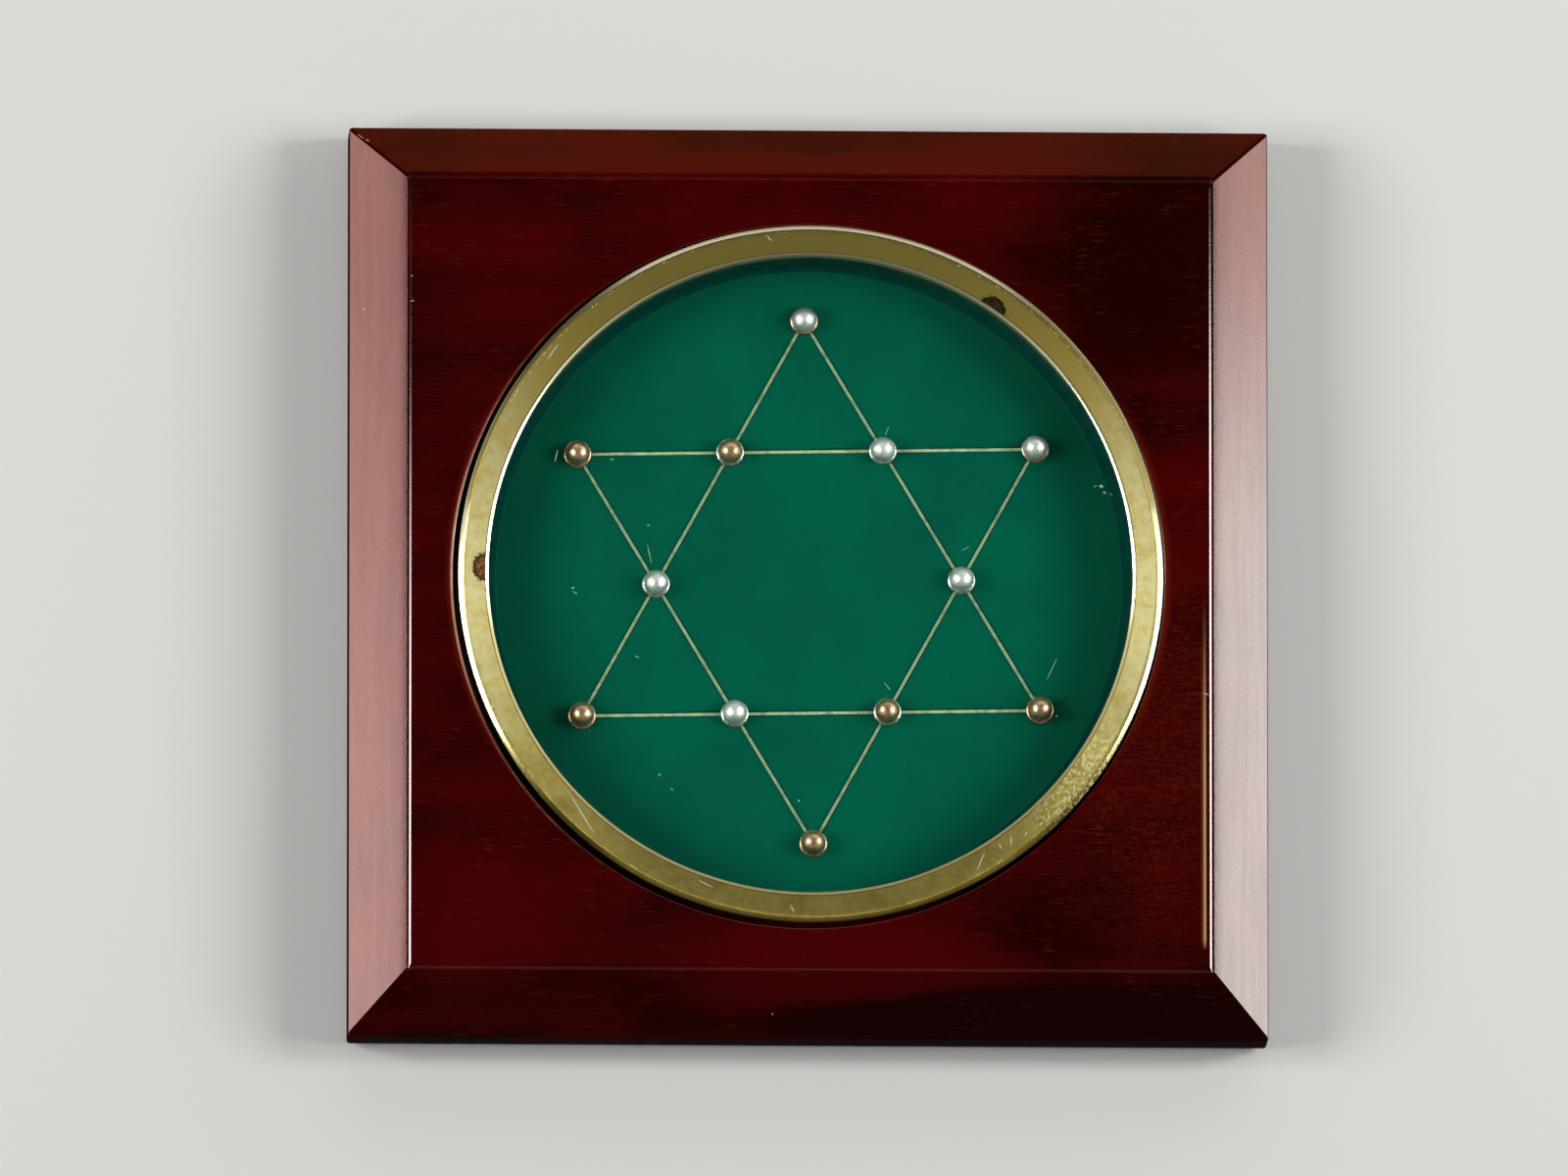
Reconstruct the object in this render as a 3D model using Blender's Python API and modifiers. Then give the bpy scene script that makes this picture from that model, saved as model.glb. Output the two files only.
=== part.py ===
"""Dexterity puzzle in a square mahogany case.

A brass bezel and its glass close a round chamber over a green board. Twelve plated
steel balls roll on the board and come to rest in twelve metal-rimmed seats, six at the
points of a star and six where its lines cross.

Metres, +Z up. The origin is on the table under the middle of the case, and -Y is the
player's side.
"""
import math

import bmesh
import bpy
from mathutils import Vector

# Gaps and overruns
contact_gap = 0.0003          # between pieces that rest on each other
fine_gap = 0.0002             # the same between a seat, its board and its ball
cut_overrun = 0.002           # how far a cutter runs past the face where it leaves
merge_distance = 0.00001      # between points that a turned profile joins

# Felt sheet under the case
felt_thickness = 0.0012
felt_inset = 0.0030           # from the case's side walls
felt_corner_radius = 0.0050

# Case, one block of mahogany
case_width = 0.1700
slope_run = 0.0111            # the sloping edge, seen from above
slope_drop = 0.0118           # the sloping edge, seen from the side
floor_thickness = 0.0072      # wood left under the board
top_arris_radius = 0.0020     # where the top face turns into the slope
side_arris_radius = 0.0008    # where the slope turns into the side wall
mitre_radius = 0.0005         # where two slopes meet
corner_radius = 0.0006        # upright corners of the side walls
base_arris_radius = 0.0005
hole_arris_radius = 0.0007    # round the bezel's hole
hole_arris_turn = math.radians(80.0)

# Bezel, turned in brass
sight_radius = 0.0594         # clear view inside the inner ring
slip_wall = 0.0005
sight_depth = 0.0030          # from the band's top down to the glass
band_width = 0.0038
band_thickness = 0.0009
band_proud = 0.0003           # above the case's top face
bead_width = 0.0011
bead_rise = 0.0004            # above the band
bead_drop = 0.0010            # outer wall under the bead, down to the skirt
skirt_step = 0.0005           # from the bead's outside in to the skirt
skirt_wall = 0.0008
hole_play = 0.0010            # round the bead in the case's hole
hole_drift_shares = (-0.40, -0.50)   # of the play, by which the hole lies off centre

# Solder tacks between the band and the inner ring
tack_length = 0.0026
tack_thickness = 0.0009
tack_angles = (math.radians(56.0), math.radians(178.5), math.radians(299.0))

# Glass
glass_thickness = 0.0020
glass_arris = 0.0002

# Chamber and the ring that lines it
chamber_height = 0.0060       # board to glass
spacer_setback = 0.0009       # outside the clear view
spacer_wall = 0.0010
cove_reach = 0.0025           # how far the ring's hollowed foot comes in over the board
cove_height = 0.0040
cove_toe = 0.0002             # the foot's thin front edge

# Board and star
board_thickness = 0.0030
star_points = 6
star_margin = 0.0105          # from the clear view's edge in to the middle of a point's seat
board_turn = math.radians(1.0)   # the board lies turned a little in its bore
groove_width = 0.00065
groove_depth = 0.00025

# Eyelets, the metal rims of the seats
eyelet_bore_radius = 0.00195
eyelet_wall = 0.0003
eyelet_flange_radius = 0.00260
eyelet_rise = 0.00035         # rolled rim above the flange's underside
eyelet_length = 0.0026        # barrel below the board's top

# Balls, and the one at rest in each seat as the photograph shows them
ball_diameter = 0.0044
tip_balls = ("silver", "copper", "copper", "copper", "copper", "silver")
crossing_balls = ("copper", "silver", "silver", "copper", "silver", "silver")

# Facets
turned_steps = 72
small_steps = 18
ball_segments = 16
ball_rings = 10
tack_segments = 12
tack_rings = 6
arris_segments = 3
rim_segments = 2

# Colours, roughness and metallic value of each finish
finishes = {
    "mahogany": ((0.075, 0.006, 0.004), 0.20, 0.0),
    "felt": ((0.010, 0.090, 0.045), 0.95, 0.0),
    "board": ((0.002, 0.100, 0.060), 0.60, 0.0),
    "lining": ((0.002, 0.070, 0.040), 0.70, 0.0),
    "glass": ((0.900, 0.950, 0.930), 0.02, 0.0),
    "brass": ((0.500, 0.430, 0.160), 0.35, 1.0),
    "bright_brass": ((0.750, 0.660, 0.350), 0.18, 1.0),
    "solder": ((0.550, 0.540, 0.520), 0.45, 1.0),
    "nickel": ((0.800, 0.820, 0.800), 0.15, 1.0),
    "copper": ((0.700, 0.300, 0.180), 0.22, 1.0),
    "silver_ball": ((0.780, 0.800, 0.790), 0.20, 1.0),
    "copper_ball": ((0.560, 0.250, 0.110), 0.22, 1.0),
}

# Heights, from the table up
case_base_z = felt_thickness + contact_gap
floor_z = case_base_z + floor_thickness
board_bottom_z = floor_z + contact_gap
board_top_z = board_bottom_z + board_thickness
glass_bottom_z = board_top_z + chamber_height
ledge_z = glass_bottom_z - contact_gap
glass_top_z = glass_bottom_z + glass_thickness
band_top_z = glass_top_z + sight_depth
band_bottom_z = band_top_z - band_thickness
top_face_z = band_top_z - band_proud
slope_foot_z = top_face_z - slope_drop

# Radii, from the middle out
slip_outer_radius = sight_radius + slip_wall
band_inner_radius = slip_outer_radius + contact_gap
bead_inner_radius = band_inner_radius + band_width
bezel_radius = bead_inner_radius + bead_width
skirt_outer_radius = bezel_radius - skirt_step
skirt_inner_radius = skirt_outer_radius - skirt_wall
glass_radius = skirt_inner_radius - contact_gap
spacer_inner_radius = sight_radius + spacer_setback
board_radius = spacer_inner_radius + spacer_wall
board_bore_radius = board_radius + contact_gap
star_radius = sight_radius - star_margin
hole_radius = bezel_radius + hole_play

# The rolled rim: its rounding is a circle that a ball rolls over
rim_radius = eyelet_bore_radius + eyelet_wall
flange_z = board_top_z + fine_gap
rim_crest_z = flange_z + eyelet_rise
rim_centre_z = rim_crest_z - eyelet_wall
ball_radius = ball_diameter / 2
ball_reach = ball_radius + eyelet_wall + fine_gap
ball_height = math.sqrt(ball_reach ** 2 - rim_radius ** 2)


def clear_scene():
    """Remove whatever objects the file holds."""
    for obj in list(bpy.data.objects):
        bpy.data.objects.remove(obj, do_unlink=True)


def new_collection(name):
    collection = bpy.data.collections.new(name)
    bpy.context.scene.collection.children.link(collection)
    return collection


def finish_material(name, finish):
    """A Principled material of the piece's own, in one of the finishes above."""
    colour, roughness, metallic = finishes[finish]
    material = bpy.data.materials.new(name + "_finish")
    material.use_nodes = True
    shader = material.node_tree.nodes["Principled BSDF"]
    shader.inputs["Base Color"].default_value = (*colour, 1.0)
    shader.inputs["Roughness"].default_value = roughness
    shader.inputs["Metallic"].default_value = metallic
    if finish == "glass":
        shader.inputs["Transmission Weight"].default_value = 1.0
    return material


def add_piece(name, mesh, finish):
    """A part of the puzzle: an object in the parts collection with its own finish."""
    piece = bpy.data.objects.new(name, mesh)
    if not mesh.materials:
        mesh.materials.append(None)
    parts.objects.link(piece)
    piece.material_slots[0].link = "OBJECT"
    piece.material_slots[0].material = finish_material(name, finish)
    return piece


def add_cutter(name, mesh):
    cutter = bpy.data.objects.new(name, mesh)
    cutter.display_type = "WIRE"
    cutter.hide_render = True
    cutters.objects.link(cutter)
    return cutter


def cut(piece, cutter):
    boolean = piece.modifiers.new("cut_" + cutter.name, "BOOLEAN")
    boolean.operation = "DIFFERENCE"
    boolean.object = cutter


def bmesh_to_mesh(name, bm, smooth_angle=None):
    mesh = bpy.data.meshes.new(name)
    bm.to_mesh(mesh)
    bm.free()
    if smooth_angle is not None:
        mesh.shade_smooth()
        mesh.set_sharp_from_angle(angle=smooth_angle)
    return mesh


def profile_mesh(name, points, closed):
    """Radius and height points in the XZ plane, down the outer side from top to bottom."""
    mesh = bpy.data.meshes.new(name)
    vertices = [(radius, 0.0, height) for radius, height in points]
    edges = [(i, i + 1) for i in range(len(points) - 1)]
    if closed:
        edges.append((len(points) - 1, 0))
    mesh.from_pydata(vertices, edges, [])
    return mesh


def turn(obj, steps):
    """Turn the profile once round Z."""
    screw = obj.modifiers.new("turned", "SCREW")
    screw.axis = "Z"
    screw.steps = steps
    screw.render_steps = steps
    screw.use_smooth_shade = True
    screw.use_merge_vertices = True
    screw.merge_threshold = merge_distance


def arc(centre, radii, start, end, segments):
    """Points on an ellipse's arc about a centre in the profile's plane."""
    points = []
    for i in range(segments + 1):
        angle = start + (end - start) * i / segments
        points.append((centre[0] + radii[0] * math.cos(angle),
                       centre[1] + radii[1] * math.sin(angle)))
    return points


def box_bmesh(size):
    bm = bmesh.new()
    bmesh.ops.create_cube(bm, size=1.0)
    bmesh.ops.scale(bm, vec=size, verts=bm.verts)
    return bm


def cylinder_mesh(name, radius, height, segments):
    bm = bmesh.new()
    bmesh.ops.create_cone(bm, cap_ends=True, segments=segments,
                          radius1=radius, radius2=radius, depth=height)
    return bmesh_to_mesh(name, bm, math.radians(40.0))


def on_circle(radius, angle):
    return Vector((radius * math.cos(angle), radius * math.sin(angle), 0.0))


def seat_places():
    """Kind, number and place of each seat, with the ball that rests in it."""
    step = math.tau / star_points
    crossing_radius = star_radius * math.tan(step / 2)
    places = []
    for i in range(star_points):
        tip_angle = board_turn + math.pi / 2 + i * step
        tip = on_circle(star_radius, tip_angle)
        crossing = on_circle(crossing_radius, tip_angle + step / 2)
        places.append(("tip", i + 1, tip, tip_balls[i]))
        places.append(("crossing", i + 1, crossing, crossing_balls[i]))
    return places


def round_edges(piece, radii_by_edge):
    """Bevel each edge by its own radius, given as a function of the edge's mesh."""
    mesh = piece.data
    widest = max(radii_by_edge)
    weights = mesh.attributes.new("bevel_weight_edge", "FLOAT", "EDGE")
    for edge, width in zip(mesh.edges, radii_by_edge):
        weights.data[edge.index].value = width / widest
    bevel = piece.modifiers.new("rounded", "BEVEL")
    bevel.limit_method = "WEIGHT"
    bevel.width = widest
    bevel.segments = arris_segments


def build_felt():
    """Felt sheet with round corners, glued under the case."""
    width = case_width - 2 * felt_inset
    bm = box_bmesh((width, width, felt_thickness))
    felt = add_piece("felt_base", bmesh_to_mesh("felt_base", bm), "felt")
    felt.location.z = felt_thickness / 2
    widths = []
    for edge in felt.data.edges:
        ends = [felt.data.vertices[i].co for i in edge.vertices]
        upright = abs(ends[0].z - ends[1].z) > felt_thickness / 2
        widths.append(felt_corner_radius if upright else 0.0)
    round_edges(felt, widths)


def arris_width(low, high):
    """How far the rounding of one edge of the case reaches, from its two ends."""
    slope_angle = math.atan2(slope_drop, slope_run)
    half_height = (case_base_z + slope_foot_z) / 2
    if low.z < half_height and high.z < half_height:
        return base_arris_radius
    if low.z < half_height:
        return corner_radius
    if high.z - low.z > slope_drop / 2:
        return mitre_radius
    if low.z > (slope_foot_z + top_face_z) / 2:
        return top_arris_radius * math.tan(slope_angle / 2)
    return side_arris_radius * math.tan((math.pi / 2 - slope_angle) / 2)


def build_case():
    """Square block with a sloping edge, bored in two steps for the bezel and the board."""
    side_height = slope_foot_z - case_base_z
    bm = box_bmesh((case_width, case_width, side_height))
    bmesh.ops.translate(bm, vec=(0.0, 0.0, case_base_z + side_height / 2), verts=bm.verts)
    bm.faces.ensure_lookup_table()
    top = max(bm.faces, key=lambda face: face.calc_center_median().z)
    raised = bmesh.ops.extrude_discrete_faces(bm, faces=[top])["faces"][0].verts
    bmesh.ops.translate(bm, vec=(0.0, 0.0, slope_drop), verts=raised)
    top_share = 1.0 - 2 * slope_run / case_width
    bmesh.ops.scale(bm, vec=(top_share, top_share, 1.0), verts=raised)
    bmesh.ops.recalc_face_normals(bm, faces=bm.faces)
    case = add_piece("case_block", bmesh_to_mesh("case_block", bm), "mahogany")
    widths = []
    for edge in case.data.edges:
        ends = [case.data.vertices[i].co for i in edge.vertices]
        widths.append(arris_width(*sorted(ends, key=lambda end: end.z)))
    round_edges(case, widths)

    arris_centre = (hole_radius + hole_arris_radius, top_face_z - hole_arris_radius)
    arris = arc(arris_centre, (hole_arris_radius, hole_arris_radius),
                math.pi - hole_arris_turn, math.pi, arris_segments)
    open_z = top_face_z + cut_overrun
    profile = [(0.0, open_z), (arris[0][0], open_z), *arris,
               (hole_radius, ledge_z), (0.0, ledge_z)]
    hole = add_cutter("bezel_hole", profile_mesh("bezel_hole", profile, closed=False))
    turn(hole, turned_steps)
    hole.location.x = hole_play * hole_drift_shares[0]
    hole.location.y = hole_play * hole_drift_shares[1]
    cut(case, hole)

    bore_height = ledge_z - floor_z + cut_overrun
    bore = add_cutter("board_bore", cylinder_mesh("board_bore", board_bore_radius,
                                                  bore_height, turned_steps))
    bore.location.z = floor_z + bore_height / 2
    cut(case, bore)


def build_board():
    """Round board with a hole for each eyelet and a groove along each line of the star."""
    board = add_piece("playing_board", cylinder_mesh("playing_board", board_radius,
                                                     board_thickness, turned_steps), "board")
    board.location.z = board_bottom_z + board_thickness / 2
    places = seat_places()

    tips = [place for kind, number, place, ball in places if kind == "tip"]
    groove_height = groove_depth + cut_overrun
    for i, start in enumerate(tips):
        end = tips[(i + 2) % star_points]
        run = end - start
        bm = box_bmesh((run.length, groove_width, groove_height))
        groove = add_cutter(f"star_line_{i + 1}", bmesh_to_mesh(f"star_line_{i + 1}", bm))
        groove.location = (start + end) / 2
        groove.location.z = board_top_z - groove_depth + groove_height / 2
        groove.rotation_euler.z = math.atan2(run.y, run.x)
        cut(board, groove)

    hole_height = board_thickness + 2 * cut_overrun
    hole_mesh = cylinder_mesh("eyelet_hole", rim_radius + fine_gap, hole_height, small_steps)
    for kind, number, place, ball in places:
        hole = add_cutter(f"eyelet_hole_{kind}_{number}", hole_mesh)
        hole.location = place
        hole.location.z = board.location.z
        cut(board, hole)


def eyelet_profile():
    """Tube with a rolled rim: round over the bore, and sloping out to the flange's edge."""
    barrel_z = board_top_z - eyelet_length
    flange_reach = eyelet_flange_radius - rim_radius
    outer = arc((rim_radius, flange_z), (flange_reach, eyelet_rise),
                math.pi / 2, 0.0, rim_segments)
    inner = arc((rim_radius, rim_centre_z), (eyelet_wall, eyelet_wall),
                math.pi, math.pi / 2, rim_segments)
    return [*outer, (rim_radius, flange_z), (rim_radius, barrel_z),
            (eyelet_bore_radius, barrel_z), *inner[:-1]]


def build_eyelets():
    """Copper rims at the star's points, nickel ones at its crossings."""
    rim_finishes = {"tip": "copper", "crossing": "nickel"}
    mesh = profile_mesh("eyelet", eyelet_profile(), closed=True)
    for kind, number, place, ball in seat_places():
        eyelet = add_piece(f"eyelet_{kind}_{number}", mesh, rim_finishes[kind])
        eyelet.location = place
        turn(eyelet, small_steps)


def build_balls():
    """A ball in each seat, carried by an empty on the line over which it rolls out.

    The line runs along X through the rim's rounding on the player's side, so a ball
    that turns about it climbs over the rim with an even gap.
    """
    bm = bmesh.new()
    bmesh.ops.create_uvsphere(bm, u_segments=ball_segments, v_segments=ball_rings,
                              radius=ball_radius)
    mesh = bmesh_to_mesh("ball", bm, math.pi)
    counts = {"silver": 0, "copper": 0}
    for kind, number, place, colour in seat_places():
        counts[colour] += 1
        name = f"ball_{colour}_{counts[colour]}"
        axis = bpy.data.objects.new(name + "_roll_axis", None)
        axis.location = (place.x, place.y - rim_radius, rim_centre_z)
        parts.objects.link(axis)
        ball = add_piece(name, mesh, colour + "_ball")
        ball.parent = axis
        ball.location = (0.0, rim_radius, ball_height)


def build_spacer():
    """Ring that stands on the board and reaches up to the glass.

    Its foot is hollowed out to a thin toe, so that a ball that runs to the edge of the
    board is turned back.
    """
    top_z = glass_bottom_z - contact_gap
    bottom_z = board_top_z + contact_gap
    toe_radius = spacer_inner_radius - cove_reach
    cove = arc((toe_radius, bottom_z + cove_toe + cove_height), (cove_reach, cove_height),
               -math.pi / 2, 0.0, rim_segments)
    profile = [(spacer_inner_radius, top_z), (board_radius, top_z),
               (board_radius, bottom_z), (toe_radius, bottom_z), *cove]
    spacer = add_piece("spacer_ring", profile_mesh("spacer_ring", profile, closed=True),
                       "lining")
    turn(spacer, turned_steps)


def build_glass():
    """Flat disc with its edges taken off."""
    edge = glass_radius - glass_arris
    profile = [(0.0, glass_top_z), (edge, glass_top_z),
               (glass_radius, glass_top_z - glass_arris),
               (glass_radius, glass_bottom_z + glass_arris),
               (edge, glass_bottom_z), (0.0, glass_bottom_z)]
    glass = add_piece("glass_disc", profile_mesh("glass_disc", profile, closed=False), "glass")
    turn(glass, turned_steps)


def build_slip_ring():
    """Upright inner ring with a round top edge, between the band and the glass."""
    half_wall = slip_wall / 2
    middle = (sight_radius + half_wall, band_top_z - half_wall)
    crest = arc(middle, (half_wall, half_wall), math.pi, 0.0, 2 * rim_segments)
    bottom_z = glass_top_z + contact_gap
    profile = [*crest, (slip_outer_radius, bottom_z), (sight_radius, bottom_z)]
    slip = add_piece("slip_ring", profile_mesh("slip_ring", profile, closed=True),
                     "bright_brass")
    turn(slip, turned_steps)


def build_bezel():
    """Flat band with a half-round outer bead, on a skirt that stands on the case's ledge."""
    half_bead = bead_width / 2
    bead = arc((bead_inner_radius + half_bead, band_top_z), (half_bead, bead_rise),
               math.pi, 0.0, 2 * arris_segments)
    skirt_z = ledge_z + contact_gap
    step_z = band_top_z - bead_drop
    profile = [(band_inner_radius, band_top_z), *bead, (bezel_radius, step_z),
               (skirt_outer_radius, step_z), (skirt_outer_radius, skirt_z),
               (skirt_inner_radius, skirt_z), (skirt_inner_radius, band_bottom_z),
               (band_inner_radius, band_bottom_z)]
    bezel = add_piece("bezel_ring", profile_mesh("bezel_ring", profile, closed=True), "brass")
    turn(bezel, turned_steps)


def build_tacks():
    """Drops of solder in the corner under the band, against the inner ring."""
    half_thickness = tack_thickness / 2
    bm = bmesh.new()
    bmesh.ops.create_uvsphere(bm, u_segments=tack_segments, v_segments=tack_rings,
                              radius=half_thickness)
    bmesh.ops.scale(bm, vec=(1.0, tack_length / tack_thickness, 1.0), verts=bm.verts)
    mesh = bmesh_to_mesh("solder_tack", bm, math.pi)
    for i, angle in enumerate(tack_angles):
        tack = add_piece(f"solder_tack_{i + 1}", mesh, "solder")
        tack.location = on_circle(slip_outer_radius + contact_gap + half_thickness, angle)
        tack.location.z = band_bottom_z - contact_gap - half_thickness
        tack.rotation_euler.z = angle


clear_scene()
parts = new_collection("dexterity_puzzle")
cutters = new_collection("cutters")
build_felt()
build_case()
build_board()
build_eyelets()
build_balls()
build_spacer()
build_glass()
build_slip_ring()
build_bezel()
build_tacks()
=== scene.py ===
"""Looks of the dexterity puzzle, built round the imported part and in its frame, in metres.

The sections follow the object as it is put together, from the felt under the case up to
the brass bezel, and the floor, lamps and camera come last.
"""
import math

import bmesh
import bpy
import numpy as np
from mathutils import Matrix, Vector


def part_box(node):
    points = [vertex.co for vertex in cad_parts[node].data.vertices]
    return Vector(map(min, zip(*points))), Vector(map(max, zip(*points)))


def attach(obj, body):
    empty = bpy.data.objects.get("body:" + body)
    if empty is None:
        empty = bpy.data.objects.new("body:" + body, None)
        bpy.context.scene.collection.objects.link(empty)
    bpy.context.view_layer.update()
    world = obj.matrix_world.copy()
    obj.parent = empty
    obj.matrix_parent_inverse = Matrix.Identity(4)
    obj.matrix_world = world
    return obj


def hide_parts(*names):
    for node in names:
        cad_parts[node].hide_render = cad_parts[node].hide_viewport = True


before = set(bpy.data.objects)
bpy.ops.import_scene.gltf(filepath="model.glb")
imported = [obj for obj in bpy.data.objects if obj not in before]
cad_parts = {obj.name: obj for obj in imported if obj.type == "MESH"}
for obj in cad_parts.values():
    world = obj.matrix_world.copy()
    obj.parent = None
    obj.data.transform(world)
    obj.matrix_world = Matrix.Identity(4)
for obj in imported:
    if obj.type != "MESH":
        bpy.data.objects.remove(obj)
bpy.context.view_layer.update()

# Felt base
# A sheet of green wool felt, glued under the case so that it doesn't scratch the table.
# Its short pressed fibres show as a fine fuzz.
felt_green = (0.012, 0.075, 0.040, 1.0)
felt_shade = (0.005, 0.040, 0.022, 1.0)
felt_fibre_scale = 2600.0
felt_fuzz = 0.0003


def new_material(name):
    """An empty node tree with a Principled shader in its output, and both of them."""
    material = bpy.data.materials.new(name)
    material.use_nodes = True
    tree = material.node_tree
    return material, tree, tree.nodes["Principled BSDF"]


def set_sockets(tree, node, sockets):
    """Each socket, given by its name or number, takes a value or another node's output."""
    for name, value in sockets.items():
        if isinstance(value, bpy.types.NodeSocket):
            tree.links.new(value, node.inputs[name])
        else:
            node.inputs[name].default_value = value


def add_node(tree, kind, sockets=None, **settings):
    """A node with its settings and sockets."""
    made = tree.nodes.new(kind)
    for name, value in settings.items():
        setattr(made, name, value)
    set_sockets(tree, made, sockets or {})
    return made


def add_math(tree, operation, *terms):
    """One sum on one, two or three values."""
    made = add_node(tree, "ShaderNodeMath", dict(enumerate(terms)), operation=operation)
    return made.outputs[0]


def add_range(tree, value, low, high):
    """A value's soft rise from 0 at low to 1 at high, or its fall where low is greater."""
    made = add_node(tree, "ShaderNodeMapRange",
                    {"Value": value, "From Min": low, "From Max": high},
                    interpolation_type="SMOOTHSTEP")
    return made.outputs["Result"]


def add_product(tree, first, second):
    """One value times another."""
    return add_math(tree, "MULTIPLY", first, second)


def add_span(tree, value, rise_start, rise_end, fall_start, fall_end):
    """1 where a value lies between the middle two of four limits, 0 past the outer two."""
    return add_product(tree, add_range(tree, value, rise_start, rise_end),
                       add_range(tree, value, fall_end, fall_start))


def add_mix(tree, share, first, second):
    """A colour between two others."""
    made = add_node(tree, "ShaderNodeMix", {0: share, 6: first, 7: second}, data_type="RGBA")
    return made.outputs[2]


def add_noise(tree, place, scale, detail=2.0, roughness=0.5):
    """Noise read at a place."""
    made = add_node(tree, "ShaderNodeTexNoise", {"Vector": place, "Scale": scale, "Detail": detail,
                                                 "Roughness": roughness})
    return made.outputs["Fac"]


def add_place(tree, stretch=(1.0, 1.0, 1.0), turn=0.0):
    """The object's own coordinates, turned about Z and stretched."""
    coordinates = add_node(tree, "ShaderNodeTexCoord")
    made = add_node(tree, "ShaderNodeMapping", {"Vector": coordinates.outputs["Object"],
                                                "Rotation": (0.0, 0.0, turn), "Scale": stretch})
    return made.outputs["Vector"]


def add_axes(tree, place):
    """A place's X, Y and Z."""
    return list(add_node(tree, "ShaderNodeSeparateXYZ", {"Vector": place}).outputs)


def add_bump(tree, height, distance, strength=1.0):
    made = add_node(tree, "ShaderNodeBump", {"Height": height, "Distance": distance,
                                             "Strength": strength})
    return made.outputs["Normal"]


def dress_node(name, material):
    """The CAD node keeps its mesh, and this is its only material."""
    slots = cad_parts[name].data.materials
    slots.clear()
    slots.append(material)


def make_felt():
    """Fine fibre noise colours the sheet and stands up from it."""
    material, tree, shader = new_material("green_felt")
    fibres = add_noise(tree, add_place(tree), felt_fibre_scale, 3.0, 0.7)
    share = add_range(tree, fibres, 0.3, 0.7)
    set_sockets(tree, shader, {
        "Base Color": add_mix(tree, share, felt_shade, felt_green),
        "Normal": add_bump(tree, fibres, felt_fuzz),
        "Roughness": 0.95,
        "Sheen Weight": 0.3,
    })
    return material


dress_node("felt_base", make_felt())

# Case
# One block of mahogany with a sloping edge, bored in two steps for the bezel and the
# board. Its gloss lacquer has rounded every arris and is worn to the wood in places.
slope_run = 0.0111
slope_drop = 0.0118
top_arris_radius = 0.0020
side_arris_radius = 0.0008
base_arris_radius = 0.0005
mitre_radius = 0.0005
corner_radius = 0.0006
hole_radius = 0.0657
hole_drift = (-0.00035, -0.00045)
hole_arris_radius = 0.0003
board_bore_radius = 0.0616
floor_thickness = 0.0072
ledge_depth = 0.0050          # from the top face down to the ledge
grain_stretch = (16.0, 120.0, 120.0)
fine_stretch = (260.0, 3200.0, 3200.0)
fluff_stretch = (900.0, 1800.0, 1800.0)
dash_stretch = (330.0, 3600.0, 3600.0)
polish_stretch = (600.0, 40.0, 600.0)
wave_stretch = (60.0, 420.0, 420.0)
wave_height = 0.000004
mahogany_dark = (0.014, 0.0002, 0.0002, 1.0)
mahogany_red = (0.066, 0.0006, 0.0005, 1.0)
mahogany_fleck = (0.110, 0.012, 0.007, 1.0)
# Painted sheen: a warm haze painted over the lacquer at the right of the top, and where it lies.
mahogany_painted_sheen = (0.080, 0.018, 0.006, 1.0)
painted_sheen_middle = (0.062, -0.030)
painted_sheen_reach = (0.022, 0.046)
# The worn line round the hole: chipped lacquer with a painted highlight, brightest at the far left.
mahogany_wear_and_highlight = (0.230, 0.065, 0.040, 1.0)
mahogany_painted_highlight = (0.520, 0.270, 0.180, 1.0)
wear_start = 0.00005          # from the hole's edge out to the line worn into its arris
wear_width = 0.00040
wear_and_highlight_side = (-0.020, -0.060)  # X where the wear and its painted highlight start, and where they are full
wood_highlight_side = (-0.0600, -0.0655)
mahogany_glow = (0.120, 0.008, 0.004, 1.0)
glow_width = 0.0018           # of the painted red glow beside the hole's edge, round the worn line
glow_side = (0.054, 0.066)
# Painted reflection of a warm lamp in the lacquer inside the right arris, soft and then in a bright
# narrow line, and where it lies.
arris_painted_reflection = (0.580, 0.400, 0.200, 1.0)
arris_painted_reflection_soft = (0.160, 0.045, 0.010, 1.0)
painted_reflection_across = (0.0719, 0.0724, 0.0727, 0.0731)
painted_reflection_along = (-0.0700, -0.0675, -0.040, -0.002)
dull_arris_across = (0.0722, 0.0728, 0.0748, 0.0753)
dull_arris_end = (0.0746, 0.0738)
tone_and_shade_patches = (               # middle, half sizes and lift of the wood's broad tones and of one painted shade
    (0.062, 0.060, 0.026, 0.024, -0.20), (0.046, -0.060, 0.016, 0.014, -0.16),
    (0.0, -0.072, 0.034, 0.009, 0.34), (-0.066, -0.064, 0.016, 0.016, 0.10),
    # The first patch below darkens the right half of the front slope: painted shade.
    (0.045, -0.0815, 0.060, 0.006, -0.50), (0.0, 0.0770, 0.090, 0.003, 0.20),
    (-0.062, 0.062, 0.020, 0.014, 0.14), (0.066, -0.034, 0.012, 0.034, 0.08),
)
dent_and_highlight_pale = (0.500, 0.300, 0.260, 1.0)
dents_and_mitre_highlights = (                     # middle, half length, half width and turn of each; the two on the back-left mitre are painted highlights
    (-0.0829, 0.0830, 0.0008, 0.00010, -0.8), (-0.0817, 0.0821, 0.0004, 0.00014, -0.6),
    (-0.0823, 0.0505, 0.0002, 0.00018, 0.0), (-0.0737, 0.0553, 0.0002, 0.00015, 0.0),
    (-0.0736, 0.0506, 0.0004, 0.00012, 0.2), (0.0729, -0.0220, 0.0006, 0.00015, -0.3),
    (-0.0068, -0.0811, 0.0002, 0.00015, 0.8),
)
top_ring_shares = (0.1, 0.4, 0.8)  # of the way over the flat top from hole to arris
even_columns = 360
corner_columns = 14
corner_spread = 0.009


def add_object(name, data):
    made = bpy.data.objects.new(name, data)
    bpy.context.scene.collection.objects.link(made)
    return made


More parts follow.
